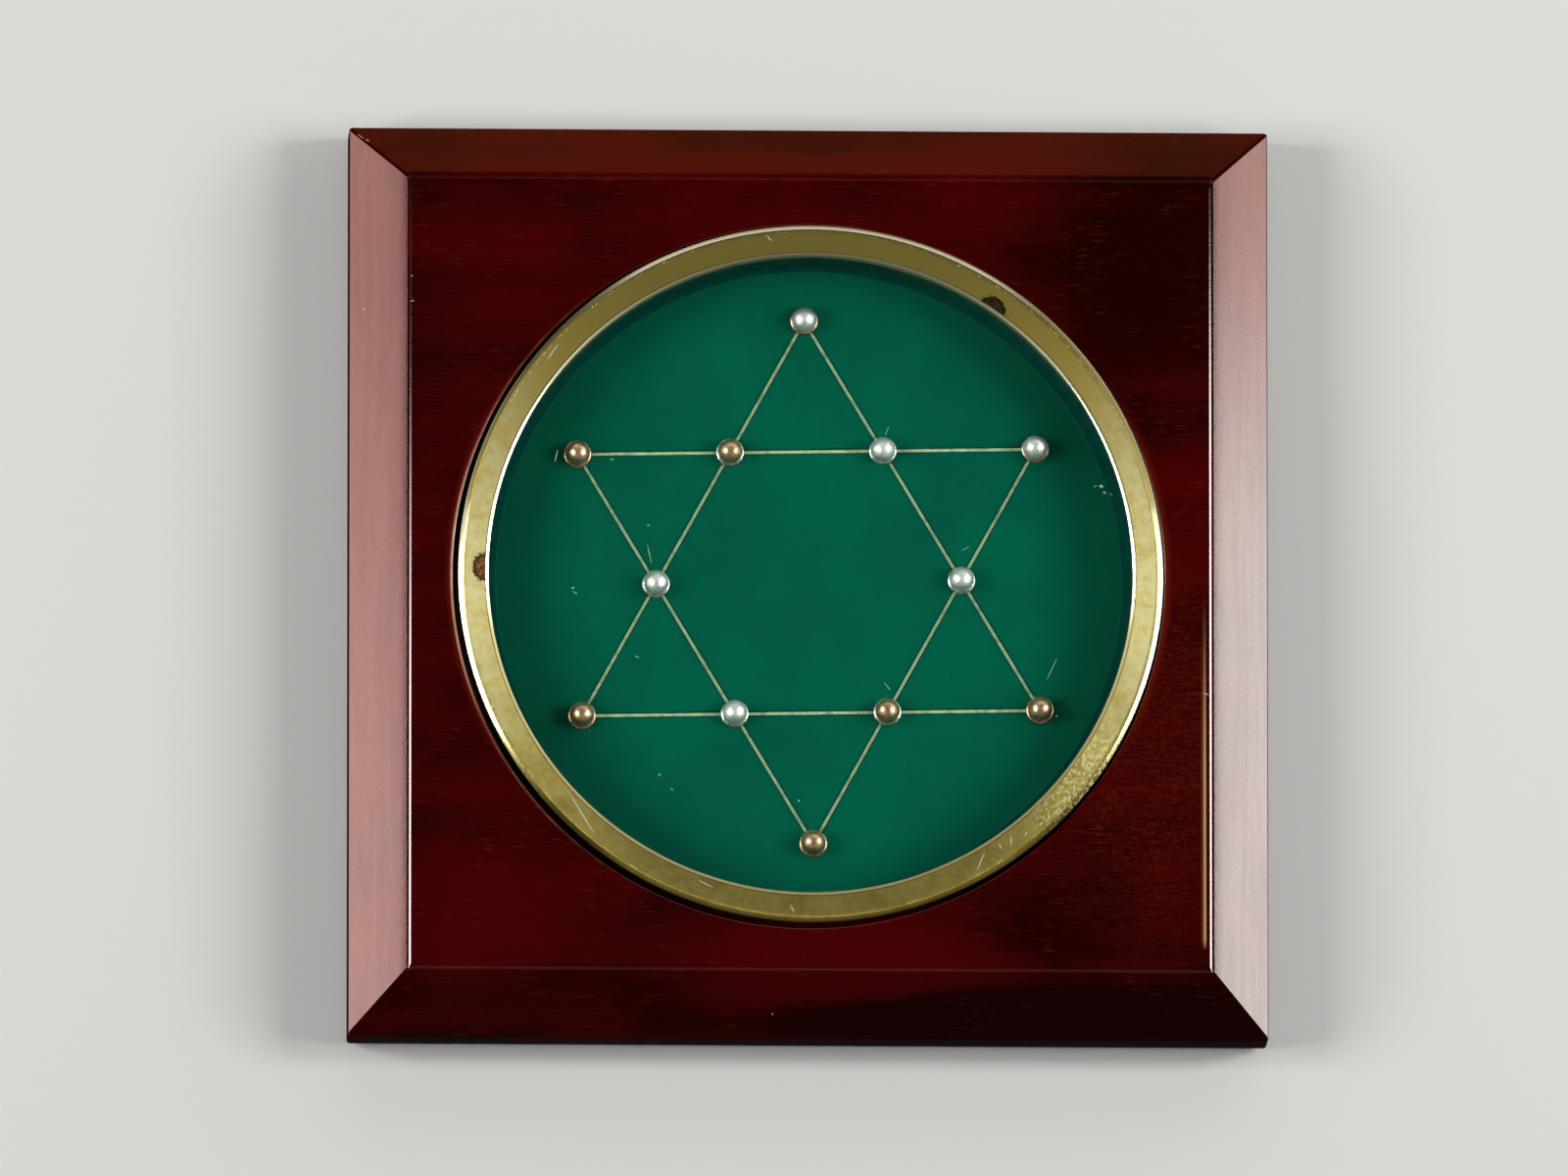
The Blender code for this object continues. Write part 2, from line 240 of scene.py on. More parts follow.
def grid_surface(name, points, round_again=False, sharp_angle=math.radians(35.0)):
    """Quads between the rows and columns of a grid of points, whose columns close.

    The rows close too where round_again is set. A row drawn together to one point
    becomes a pole. Rows run from the top down the outer side.
    """
    rows, columns = points.shape[:2]
    index = np.arange(rows * columns).reshape(rows, columns)
    if round_again:
        index = np.vstack([index, index[:1]])
    beside = np.roll(index, -1, axis=1)
    quads = np.stack([index[:-1], index[1:], beside[1:], beside[:-1]], axis=-1).reshape(-1, 4)
    mesh = bpy.data.meshes.new(name)
    mesh.from_pydata(points.reshape(-1, 3).tolist(), [], quads.tolist())
    merged = bmesh.new()
    merged.from_mesh(mesh)
    bmesh.ops.remove_doubles(merged, verts=merged.verts, dist=0.0000002)
    merged.to_mesh(mesh)
    merged.free()
    mesh.shade_smooth()
    mesh.set_sharp_from_angle(angle=sharp_angle)
    return add_object(name, mesh)


def arc(centre, radii, start, end, count):
    """Radius and height of points on an ellipse's arc about a centre."""
    angle = np.linspace(start, end, count)
    return np.stack([centre[0] + radii[0] * np.cos(angle),
                     centre[1] + radii[1] * np.sin(angle)], axis=-1)


def square_reach(half_width, round_radius, angle):
    """Distance from the middle of a square with round corners to its edge, at an angle.

    Folded into one eighth of the square, the edge is the straight side at half_width, or
    past the corner's start the far crossing with the corner's circle.
    """
    long_share = np.maximum(np.abs(np.cos(angle)), np.abs(np.sin(angle)))
    short_share = np.minimum(np.abs(np.cos(angle)), np.abs(np.sin(angle)))
    straight = half_width / long_share
    inner = half_width - round_radius
    along = inner * (long_share + short_share)
    past = along ** 2 - (2 * inner ** 2 - round_radius ** 2)
    rounded = along + np.sqrt(np.maximum(past, 0.0))
    return np.where(straight * short_share <= inner, straight, rounded)


def case_angles():
    """Even steps round the case, with more of them where its corners turn."""
    even = np.linspace(0.0, math.tau, even_columns, endpoint=False)
    corner = math.pi / 4 + np.linspace(-corner_spread, corner_spread, corner_columns)
    corners = [corner + quarter * math.pi / 2 for quarter in range(4)]
    return np.unique(np.concatenate([even, *corners]).round(7))


def rounding(first, corner, last, radius, count):
    """Points on the arc of a radius that rounds a corner between two straight runs."""
    first, corner, last = (np.array(point) for point in (first, corner, last))
    before = (first - corner) / np.linalg.norm(first - corner)
    after = (last - corner) / np.linalg.norm(last - corner)
    half_angle = math.acos(before @ after) / 2
    bisector = (before + after) / np.linalg.norm(before + after)
    centre = corner + bisector * radius / math.sin(half_angle)
    sweep = math.pi / 2 - half_angle
    turn = np.linspace(-sweep, sweep, count)
    side = np.array([-bisector[1], bisector[0]])
    if side @ after < 0:
        side = -side
    return (centre - radius * np.outer(np.cos(turn), bisector)
            + radius * np.outer(np.sin(turn), side))


def build_case():
    """One surface from the middle of the bored floor, over the top and sides, to the base.

    Each level is a circle or a square with round corners, and all share the same angles.
    """
    low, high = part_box("case_block")
    half_width = (high.x - low.x) / 2
    half_top = half_width - slope_run
    foot_z = high.z - slope_drop
    angle = case_angles()
    circle = np.stack([np.cos(angle), np.sin(angle)], axis=-1)
    levels = []

    def add_circle(radius, height, drift=(0.0, 0.0)):
        levels.append(np.column_stack([circle * radius + drift, np.full(len(angle), height)]))

    def add_square(half, height, round_radius):
        reach = square_reach(half, round_radius, angle)
        levels.append(np.column_stack([circle * reach[:, None], np.full(len(angle), height)]))

    add_circle(0.0, low.z + floor_thickness)
    add_circle(board_bore_radius, low.z + floor_thickness)
    add_circle(board_bore_radius, high.z - ledge_depth)
    add_circle(hole_radius, high.z - ledge_depth, hole_drift)
    mouth = arc((hole_radius + hole_arris_radius, high.z - hole_arris_radius),
                (hole_arris_radius, hole_arris_radius), math.pi, math.pi / 2, 9)
    for radius, height in mouth:
        add_circle(radius, height, hole_drift)
    edge = rounding((0.0, high.z), (half_top, high.z), (half_width, foot_z), top_arris_radius, 13)
    inner_ring = levels[-1]
    reach = square_reach(edge[0][0], mitre_radius, angle)
    outer_ring = np.column_stack([circle * reach[:, None], np.full(len(angle), high.z)])
    for share in top_ring_shares:
        levels.append(inner_ring + (outer_ring - inner_ring) * share)
    for half, height in edge:
        add_square(half, height, mitre_radius)
    side = rounding((half_top, high.z), (half_width, foot_z), (half_width, low.z),
                    side_arris_radius, 9)
    for half, height in side:
        add_square(half, height, corner_radius)
    base = rounding((half_width, foot_z), (half_width, low.z), (0.0, low.z),
                    base_arris_radius, 7)
    for half, height in base:
        add_square(half, height, corner_radius)
    add_circle(0.0, low.z)
    return grid_surface("lacquered_case", np.array(levels))


def add_oval_reach(tree, place, middle, half_sizes, turn=0.0):
    """Distance from a mark's middle, 1 at the edge of an oval whose long way is turned."""
    oval = add_node(tree, "ShaderNodeMapping",
                    {"Vector": place, "Location": (*middle, 0.0), "Rotation": (0.0, 0.0, turn),
                     "Scale": (*half_sizes, 1.0)}, vector_type="TEXTURE")
    return add_node(tree, "ShaderNodeVectorMath", {0: oval.outputs["Vector"]},
                    operation="LENGTH").outputs["Value"]


def add_marks(tree, place, marks):
    """1 inside small ovals, each given by its middle, half length, half width and turn."""
    share = 0.0
    for x, y, half_length, half_width, turn in marks:
        reach = add_oval_reach(tree, place, (x, y), (half_length, half_width), turn)
        share = add_math(tree, "MAXIMUM", share, add_range(tree, reach, 1.2, 0.6))
    return share


def make_mahogany():
    """Grain along X: soft dark and red clouds, fine streaks and short pale dashes, with painted
    sheen, reflection, glow, highlights and shade on the lacquer.
    """
    material, tree, shader = new_material("mahogany_lacquer")
    place = add_place(tree)
    along_x, along_y, _ = add_axes(tree, place)
    bands = add_noise(tree, add_place(tree, grain_stretch), 1.0, 3.0, 0.5)
    clouds = add_noise(tree, place, 26.0, 3.0, 0.5)
    fine = add_noise(tree, add_place(tree, fine_stretch), 1.0, 2.0, 0.6)
    tone = add_math(tree, "ADD", add_product(tree, bands, 0.35), add_product(tree, clouds, 0.65))
    tone = add_math(tree, "ADD", tone, add_product(tree, fine, 0.30))
    for x, y, half_x, half_y, lift in tone_and_shade_patches:
        patch = add_range(tree, add_oval_reach(tree, place, (x, y), (half_x, half_y)), 1.3, 0.2)
        tone = add_math(tree, "MULTIPLY_ADD", patch, lift, tone)
    # Painted sheen over the right of the top, broken up by fluff noise.
    painted_light_share = add_range(tree, add_oval_reach(tree, place, painted_sheen_middle, painted_sheen_reach), 1.1, 0.4)
    fluff = add_noise(tree, add_place(tree, fluff_stretch), 1.0, 4.0, 0.65)
    ruffle = add_product(tree, painted_light_share, add_math(tree, "SUBTRACT", fluff, 0.62))
    tone = add_math(tree, "MULTIPLY_ADD", ruffle, 0.4, tone)
    colour = add_mix(tree, add_range(tree, tone, 0.46, 0.84), mahogany_dark, mahogany_red)
    dashes = add_noise(tree, add_place(tree, dash_stretch), 1.0, 0.0)
    patches = add_noise(tree, place, 90.0, 2.0)
    dash_share = add_product(tree, add_range(tree, dashes, 0.66, 0.82),
                             add_range(tree, patches, 0.42, 0.62))
    colour = add_mix(tree, add_product(tree, dash_share, 0.60), colour, mahogany_fleck)
    painted_sheen = add_product(tree, add_range(tree, fluff, 0.42, 0.66), add_range(tree, fine, 0.30, 0.60))
    painted_sheen = add_product(tree, painted_sheen, add_product(tree, painted_light_share, 0.4))
    colour = add_mix(tree, painted_sheen, colour, mahogany_painted_sheen)
    reach = add_oval_reach(tree, place, hole_drift, (hole_radius, hole_radius))
    past_edge = add_math(tree, "SUBTRACT", reach, 1.0 + wear_start / hole_radius)
    worn_width = wear_width / hole_radius
    worn_line = add_span(tree, past_edge, 0.0, 0.0015, worn_width, worn_width + 0.003)
    worn_noise = add_noise(tree, place, 260.0, 3.0, 0.65)
    wear_and_highlight_share = add_range(tree, add_math(tree, "MULTIPLY_ADD", worn_noise, 0.03, along_x),
                          *wear_and_highlight_side)
    sideways = add_math(tree, "ABSOLUTE", along_x)
    # Painted glow beside the hole's edge at the left and right.
    glow = add_product(tree, add_range(tree, sideways, *glow_side),
                       add_range(tree, past_edge, glow_width / hole_radius, 0.0))
    glow = add_product(tree, glow, add_range(tree, past_edge, -0.0004, 0.0004))
    colour = add_mix(tree, glow, colour, mahogany_glow)
    # Painted highlight on the worn line, brightest at the far left.
    wear_and_highlight_colour = add_mix(tree, add_range(tree, along_x, *wood_highlight_side), mahogany_wear_and_highlight, mahogany_painted_highlight)
    colour = add_mix(tree, add_product(tree, worn_line, wear_and_highlight_share), colour, wear_and_highlight_colour)
    # Painted reflection along the right arris: a soft wide line and a bright narrow one.
    lengthways = add_span(tree, along_y, *painted_reflection_along)
    soft_painted_reflection = add_product(tree, add_span(tree, along_x, *painted_reflection_across), lengthways)
    colour = add_mix(tree, soft_painted_reflection, colour, arris_painted_reflection_soft)
    _, start, stop, soft_stop = painted_reflection_across
    hard_painted_reflection = add_product(tree, add_span(tree, along_x, start, stop, stop, soft_stop), lengthways)
    colour = add_mix(tree, hard_painted_reflection, colour, arris_painted_reflection)
    # Pale dents, and painted highlights along the back-left mitre.
    colour = add_mix(tree, add_marks(tree, place, dents_and_mitre_highlights), colour, dent_and_highlight_pale)
    streaks = add_noise(tree, add_place(tree, polish_stretch), 1.0, 3.0, 0.6)
    specks = add_noise(tree, place, 2200.0, 2.0, 0.6)
    coat = add_math(tree, "MULTIPLY_ADD", add_range(tree, streaks, 0.35, 0.70), -0.09, 1.0)
    coat = add_math(tree, "MULTIPLY_ADD", add_range(tree, specks, 0.35, 0.65), -0.08, coat)
    back_arris = add_product(tree, add_span(tree, along_y, *dull_arris_across),
                             add_range(tree, sideways, *dull_arris_end))
    coat = add_product(tree, coat, add_math(tree, "MULTIPLY_ADD", back_arris, -0.9, 1.0))
    waves = add_noise(tree, add_place(tree, wave_stretch), 1.0, 2.0)
    height = add_math(tree, "SUBTRACT", waves, add_product(tree, dashes, 0.3))
    normal = add_bump(tree, height, wave_height)
    set_sockets(tree, shader, {
        "Base Color": colour,
        "Roughness": 0.50,
        "Specular IOR Level": 0.0,
        "Normal": normal,
        "Coat Weight": coat,
        "Coat Roughness": 0.07,
        "Coat IOR": 1.65,
        "Coat Normal": normal,
    })
    return material


case = build_case()
case.data.materials.append(make_mahogany())
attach(case, "puzzle")
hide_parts("case_block")

# Playing board
# A round board painted in a matte blue-green, with the star's lines cut through the
# paint and gilded. It lies on the floor of the bore.
board_green = (0.0005, 0.083, 0.046, 1.0)
board_shade = (0.0004, 0.066, 0.039, 1.0)
board_painted_shade = (0.0002, 0.020, 0.014, 1.0)
gilt_pale = (0.340, 0.480, 0.270, 1.0)
gilt_worn = (0.160, 0.290, 0.160, 1.0)
groove_depth = 0.00025
groove_width = 0.00065
gilt_width = 0.00048
groove_shade = 0.00035         # how far the painted shade beside a groove reaches
paint_grain = 0.00003
star_radius = 0.0489
board_turn = math.radians(1.0)


def add_line_distance(tree, place):
    """Distance to the nearest of the star's six lines.

    Each lies half the star's radius from the middle, and opposite ones share a normal.
    """
    nearest = star_radius
    for third in range(3):
        angle = board_turn + math.radians(30.0 + 60.0 * third)
        normal = (math.cos(angle), math.sin(angle), 0.0)
        along = add_node(tree, "ShaderNodeVectorMath", {0: place, 1: normal},
                         operation="DOT_PRODUCT").outputs["Value"]
        away = add_math(tree, "ABSOLUTE", add_math(tree, "SUBTRACT", add_math(
            tree, "ABSOLUTE", along), star_radius / 2))
        nearest = add_math(tree, "MINIMUM", nearest, away)
    return nearest


def make_board():
    """Even, fine-grained paint with painted shade beside and along the grooves, and gilt in them.
    """
    material, tree, shader = new_material("board_paint")
    top_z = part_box("playing_board")[1].z
    place = add_place(tree)
    mottle = add_noise(tree, place, 60.0, 3.0, 0.5)
    grain = add_noise(tree, place, 2600.0, 3.0, 0.7)
    tone = add_math(tree, "ADD", add_product(tree, mottle, 0.55), add_product(tree, grain, 0.45))
    paint = add_mix(tree, add_range(tree, tone, 0.30, 0.70), board_shade, board_green)
    inside = add_range(tree, add_oval_reach(tree, place, (0.0, 0.0), (star_radius, star_radius)),
                       1.01, 0.99)
    away = add_line_distance(tree, place)
    # Painted shade darkens the paint beside the grooves and along their walls.
    beside = add_range(tree, away, groove_width / 2 + groove_shade, groove_width / 2)
    paint = add_mix(tree, add_product(tree, beside, inside), paint, board_painted_shade)
    blotches = add_noise(tree, place, 700.0, 2.0, 0.5)
    gilt = add_mix(tree, add_range(tree, blotches, 0.25, 0.60), gilt_worn, gilt_pale)
    cut = add_range(tree, add_axes(tree, place)[2], top_z - groove_depth / 3,
                    top_z - groove_depth * 2 / 3)
    cut = add_product(tree, cut, add_range(tree, away, groove_width / 2, gilt_width / 2))
    set_sockets(tree, shader, {
        "Base Color": add_mix(tree, cut, paint, gilt),
        "Normal": add_bump(tree, grain, paint_grain, 0.6),
        "Roughness": 0.80,
        "Specular IOR Level": 0.0,
    })
    return material


dress_node("playing_board", make_board())

# Eyelets
# Each seat is a rolled eyelet pressed into the board, copper at the star's points and
# nickel at its crossings. The ball rests on the rolled rim.
eyelet_bore_radius = 0.00195
eyelet_wall = 0.0003
eyelet_rise = 0.00035
eyelet_columns = 72
copper_bright = (0.840, 0.560, 0.400, 1.0)
copper_dull = (0.500, 0.230, 0.150, 1.0)
nickel_bright = (0.900, 0.900, 0.860, 1.0)
nickel_dull = (0.420, 0.430, 0.400, 1.0)
scratch_turns = (0.3, 1.3, 2.4)
scratch_stretch = (1.0, 24.0, 1.0)
plate_tarnish_scale = 900.0


def turned_surface(name, profile, columns, round_again=True, centre=(0.0, 0.0)):
    """A profile of radius and height turned round an upright line through the centre."""
    angle = np.linspace(0.0, math.tau, columns, endpoint=False)
    radius, height = profile[:, 0, None], profile[:, 1, None]
    points = np.stack([centre[0] + radius * np.cos(angle), centre[1] + radius * np.sin(angle),
                       np.broadcast_to(height, (len(profile), columns))], axis=-1)
    return grid_surface(name, points, round_again)


def make_handling_group():
    """Marks that handling leaves on bright metal: soft tarnish and fine crossed scratches."""
    tree = bpy.data.node_groups.new("handling_marks", "ShaderNodeTree")
    for name in ("Tarnish Scale", "Scratch Scale"):
        tree.interface.new_socket(name, in_out="INPUT", socket_type="NodeSocketFloat")
    for name in ("Tarnish", "Scratches"):
        tree.interface.new_socket(name, in_out="OUTPUT", socket_type="NodeSocketFloat")
    given = add_node(tree, "NodeGroupInput")
    place = add_place(tree)
    clouds = add_noise(tree, place, given.outputs["Tarnish Scale"], 4.0, 0.65)
    tarnish = add_range(tree, clouds, 0.42, 0.68)
    lines = []
    for turn in scratch_turns:
        across = add_place(tree, scratch_stretch, turn)
        streaks = add_noise(tree, across, given.outputs["Scratch Scale"], 1.0)
        lines.append(add_range(tree, streaks, 0.66, 0.72))
    scratches = add_math(tree, "MAXIMUM", add_math(tree, "MAXIMUM", lines[0], lines[1]), lines[2])
    add_node(tree, "NodeGroupOutput", {"Tarnish": tarnish, "Scratches": scratches})
    return tree


handling_marks = make_handling_group()


def add_handling_marks(tree, tarnish_scale, scratch_scale):
    marks = add_node(tree, "ShaderNodeGroup", node_tree=handling_marks)
    set_sockets(tree, marks, {"Tarnish Scale": tarnish_scale, "Scratch Scale": scratch_scale})
    return marks


def make_metal(name, bright, dull, roughness, tarnish_scale, scratch_scale, tarnish_share=1.0,
               pitting=0.0):
    """Bright metal that goes duller and rougher under tarnish and scratches, with fine pits."""
    material, tree, shader = new_material(name)
    marks = add_handling_marks(tree, tarnish_scale, scratch_scale)
    tarnish = add_product(tree, marks.outputs["Tarnish"], tarnish_share)
    rough = add_math(tree, "MULTIPLY_ADD", tarnish, 0.12, roughness)
    rough = add_math(tree, "MULTIPLY_ADD", marks.outputs["Scratches"], 0.1, rough)
    set_sockets(tree, shader, {
        "Base Color": add_mix(tree, tarnish, bright, dull),
        "Roughness": rough,
        "Metallic": 1.0,
    })
    if pitting:
        pits = add_noise(tree, add_place(tree), 1800.0, 2.0, 0.6)
        set_sockets(tree, shader, {"Normal": add_bump(tree, pits, pitting)})
    return material


def eyelet_profile(low, high):
    """Down from the rolled rim over the flange, in to the barrel, down it and up the bore."""
    flange_z = high.z - eyelet_rise
    rim_radius = eyelet_bore_radius + eyelet_wall
    flange_reach = (high.x - low.x) / 2 - rim_radius
    outer = arc((rim_radius, flange_z), (flange_reach, eyelet_rise), math.pi / 2, 0.0, 9)
    inner = arc((rim_radius, high.z - eyelet_wall), (eyelet_wall, eyelet_wall),
                math.pi, math.pi / 2, 9)
    barrel = [(rim_radius, flange_z), (rim_radius, low.z), (eyelet_bore_radius, low.z)]
    return np.concatenate([outer, np.array(barrel), inner[:-1]])


eyelet_metals = {
    "tip": make_metal("copper_plate", copper_bright, copper_dull, 0.24, plate_tarnish_scale,
                      500.0),
    "crossing": make_metal("nickel_plate", nickel_bright, nickel_dull, 0.22,
                           plate_tarnish_scale, 500.0),
}
for node_name in sorted(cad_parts):
    if not node_name.startswith("eyelet_"):
        continue
    kind = node_name.split("_")[1]
    low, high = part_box(node_name)
    middle = (low + high) / 2
    eyelet = turned_surface("rolled_" + node_name, eyelet_profile(low, high), eyelet_columns,
                            centre=(middle.x, middle.y))
    eyelet.data.materials.append(eyelet_metals[kind])
    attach(eyelet, "puzzle")
    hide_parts(node_name)

# Balls
# Twelve plated steel balls, six silver and six copper, rolled smooth. Each rests on the
# rim of a seat and rolls out over it when the case is tipped.
ball_columns = 72
ball_rows = 37
silver_bright = (0.900, 0.930, 0.910, 1.0)
silver_dull = (0.560, 0.620, 0.580, 1.0)
ball_copper_bright = (0.800, 0.560, 0.340, 1.0)
ball_copper_dull = (0.360, 0.210, 0.110, 1.0)
ball_scratch_scale = 300.0
ball_pitting = 0.00005
ball_metals = {
    "silver": make_metal("silver_ball_plate", silver_bright, silver_dull, 0.42,
                         plate_tarnish_scale, ball_scratch_scale, 0.6, ball_pitting),
    "copper": make_metal("copper_ball_plate", ball_copper_bright, ball_copper_dull, 0.31,
                         plate_tarnish_scale, ball_scratch_scale, 0.8, ball_pitting),
}


def ball_surface(name, low, high):
    """Rings of latitude from the top pole to the bottom one."""
    middle = (low + high) / 2
    radius = (high.x - low.x) / 2
    profile = arc((0.0, middle.z), (radius, radius), math.pi / 2, -math.pi / 2, ball_rows)
    profile[[0, -1], 0] = 0.0
    return turned_surface(name, profile, ball_columns, False, (middle.x, middle.y))


for node_name in sorted(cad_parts):
    if not node_name.startswith("ball_"):
        continue
    colour = node_name.split("_")[1]
    ball = ball_surface("polished_" + node_name, *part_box(node_name))
    ball.data.materials.append(ball_metals[colour])
    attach(ball, node_name)
    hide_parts(node_name)

# Spacer ring
# A ring of pressed board, painted as the playing board is. It lines the bored wall and
# holds the board down, and its foot sweeps inwards so that the balls roll back.
ring_columns = 288
spacer_wall = 0.0010
cove_reach = 0.0025
cove_height = 0.0040
cove_toe = 0.0002
lining_green = (0.0004, 0.040, 0.028, 1.0)
lining_shade = (0.0002, 0.028, 0.021, 1.0)
lining_painted_highlight = (0.003, 0.090, 0.062, 1.0)
toe_highlight_width = 0.0004              # width of the painted highlight along the foot's front edge
lining_fuzz = 0.00003


def make_lining(toe_radius):
    """Matte paint on pressed fibre, with a painted highlight along the foot's front edge."""
    material, tree, shader = new_material("green_lining")
    place = add_place(tree)
    fibres = add_noise(tree, place, 900.0, 3.0, 0.6)
    share = add_range(tree, fibres, 0.35, 0.65)
    paint = add_mix(tree, share, lining_shade, lining_green)
    reach = add_oval_reach(tree, place, (0.0, 0.0), (toe_radius, toe_radius))
    # Painted highlight along the foot's front edge, where it meets the board.
    painted_light_share = add_range(tree, reach, 1.0 + toe_highlight_width / toe_radius, 1.0)
    set_sockets(tree, shader, {
        "Base Color": add_mix(tree, painted_light_share, paint, lining_painted_highlight),
        "Normal": add_bump(tree, fibres, lining_fuzz),
        "Roughness": 0.8,
        "Specular IOR Level": 0.0,
    })
    return material


spacer_low, spacer_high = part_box("spacer_ring")
spacer_radius = (spacer_high.x - spacer_low.x) / 2
spacer_inner = spacer_radius - spacer_wall
cove_toe_radius = spacer_inner - cove_reach
cove = arc((cove_toe_radius, spacer_low.z + cove_toe + cove_height), (cove_reach, cove_height),
           -math.pi / 2, 0.0, 17)
spacer = turned_surface("lining_ring", np.concatenate([
    np.array([(spacer_inner, spacer_high.z), (spacer_radius, spacer_high.z),
              (spacer_radius, spacer_low.z), (cove_toe_radius, spacer_low.z)]), cove]),
    ring_columns)
spacer.data.materials.append(make_lining(cove_toe_radius))
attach(spacer, "puzzle")
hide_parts("spacer_ring")

# Glass
# A flat disc of clear glass with its edges taken off. It lies on the spacer ring and
# closes the chamber.
glass_arris = 0.0002
glass_tint = (0.985, 1.0, 0.992, 1.0)
glass_shadow = (0.95, 0.97, 0.96, 1.0)
glass_bend = 1.5


def make_glass():
    """Clear glass that lets the lamps reach the board."""
    material, tree, shader = new_material("window_glass")
    set_sockets(tree, shader, {
        "Base Color": glass_tint,
        "Roughness": 0.0,
        "IOR": glass_bend,
        "Transmission Weight": 1.0,
    })
    path = add_node(tree, "ShaderNodeLightPath")
    clear = add_node(tree, "ShaderNodeBsdfTransparent", {"Color": glass_shadow})
    let_through = add_node(tree, "ShaderNodeMixShader", {
        0: path.outputs["Is Shadow Ray"], 1: shader.outputs[0], 2: clear.outputs[0]})
    set_sockets(tree, tree.nodes["Material Output"], {"Surface": let_through.outputs[0]})
    return material


glass_low, glass_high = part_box("glass_disc")
glass_radius = (glass_high.x - glass_low.x) / 2
glass = turned_surface("clear_window", np.array([
    (0.0, glass_high.z), (glass_radius - glass_arris, glass_high.z),
    (glass_radius, glass_high.z - glass_arris), (glass_radius, glass_low.z + glass_arris),
    (glass_radius - glass_arris, glass_low.z), (0.0, glass_low.z)]), ring_columns, False)
glass.data.materials.append(make_glass())
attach(glass, "puzzle")
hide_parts("glass_disc")

# Dust
# Grains of dust and short hairs that lie on the glass, as they do on any that is handled.
# The lamps pick them out in white.
dust_pale = (0.640, 0.720, 0.690, 1.0)
dust_grey = (0.300, 0.360, 0.340, 1.0)
dust_height = 0.00006
dust_marks = (                # middle, half length, half width and turn of each
    (-0.0297, 0.0040, 0.0018, 0.00007, -1.35), (-0.0469, 0.0222, 0.0012, 0.00008, 1.34),
    (0.0142, 0.0272, 0.0010, 0.00005, 1.2), (0.0142, -0.0205, 0.0009, 0.00005, -0.9),
    (0.0446, -0.0172, 0.0024, 0.00005, 1.13), (0.0287, 0.0053, 0.0008, 0.00005, 0.5),
    (0.0538, 0.0171, 0.0004, 0.00026, -0.3), (0.0544, 0.0159, 0.0003, 0.00020, -0.5),
    (0.0527, 0.0171, 0.0004, 0.00008, 0.6), (0.0556, 0.0156, 0.0004, 0.00007, -0.9),
    (-0.0021, -0.0420, 0.0002, 0.00014, 0.0),
    (-0.0255, -0.0400, 0.0003, 0.00010, -0.6), (-0.0278, -0.0373, 0.0003, 0.00010, 0.7),
    (-0.0438, -0.0025, 0.0003, 0.00014, 0.4), (-0.0434, -0.0034, 0.0005, 0.00010, -0.5),
    (-0.0320, -0.0153, 0.0004, 0.00009, -0.4), (-0.0299, 0.0093, 0.0002, 0.00010, 0.0),
    (-0.0366, 0.0216, 0.0003, 0.00009, 0.3), (0.0455, -0.0259, 0.0002, 0.00014, 0.3),
)
dust_rows = 7
dust_columns = 12


def dust_surface(name, marks, ground_z):
    """Flattened balls, one for each mark, stretched, turned and set down on the glass."""
    x, y, half_length, half_width, turn = np.array(marks).T[:, :, None, None]
    fall = np.linspace(0.0, math.pi, dust_rows)[None, :, None]
    angle = np.linspace(0.0, math.tau, dust_columns, endpoint=False)[None, None, :]
    along = half_length * np.sin(fall) * np.cos(angle)
    across = half_width * np.sin(fall) * np.sin(angle)
    height = np.broadcast_to(ground_z + dust_height * (1.0 + np.cos(fall)), along.shape)
    grids = np.stack([x + along * np.cos(turn) - across * np.sin(turn),
                      y + along * np.sin(turn) + across * np.cos(turn), height], axis=-1)
    specks = [grid_surface(name, grid) for grid in grids]
    joined = bmesh.new()
    for speck in specks:
        joined.from_mesh(speck.data)
    joined.to_mesh(specks[0].data)
    joined.free()
    for speck in specks[1:]:
        bpy.data.objects.remove(speck)
    specks[0].data.shade_smooth()
    return specks[0]


def make_dust():
    """Pale matte fluff with a fine uneven tone."""
    material, tree, shader = new_material("pale_dust")
    tone = add_noise(tree, add_place(tree), 3000.0, 2.0)
    colour = add_mix(tree, add_range(tree, tone, 0.35, 0.65), dust_grey, dust_pale)
    set_sockets(tree, shader, {"Base Color": colour, "Roughness": 0.7})
    return material


dust = dust_surface("dust_on_glass", dust_marks, glass_high.z)
dust.data.materials.append(make_dust())
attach(dust, "puzzle")

# Slip ring
# A narrow strip of brass on edge inside the band, soldered to it at three points. Its top
# slopes in to the glass, which it holds down, and catches the lamps.
slip_wall = 0.0004
slip_bright = (0.800, 0.760, 0.560, 1.0)
slip_dull = (0.520, 0.460, 0.210, 1.0)
slip_lip = 0.00025             # by which the top edge reaches out to the band
slip_lip_height = 0.0004
slip_crest_run = 0.00008       # from the lip's outside in to the crest
slip_slope_drop = 0.00026      # from the crest in to the inner wall
slip_rounding = 0.00008
slip_bright_from = (-0.012, -0.002)
slip_bright_to = (0.046, 0.028)


def make_slip_brass():
    """Brighter and smoother at both sides, less so at the back, and dull along its front."""
    material, tree, shader = new_material("slip_brass")
    along_y = add_axes(tree, add_place(tree))[1]
    from_front = add_range(tree, along_y, *slip_bright_from)
    from_back = add_range(tree, along_y, *slip_bright_to)
    bright = add_product(tree, from_front, add_math(tree, "MULTIPLY_ADD", from_back, 0.6, 0.4))
    set_sockets(tree, shader, {
        "Base Color": add_mix(tree, bright, slip_dull, slip_bright),
        "Roughness": add_math(tree, "MULTIPLY_ADD", bright, -0.32, 0.52),
        "Metallic": 1.0,
    })
    return material


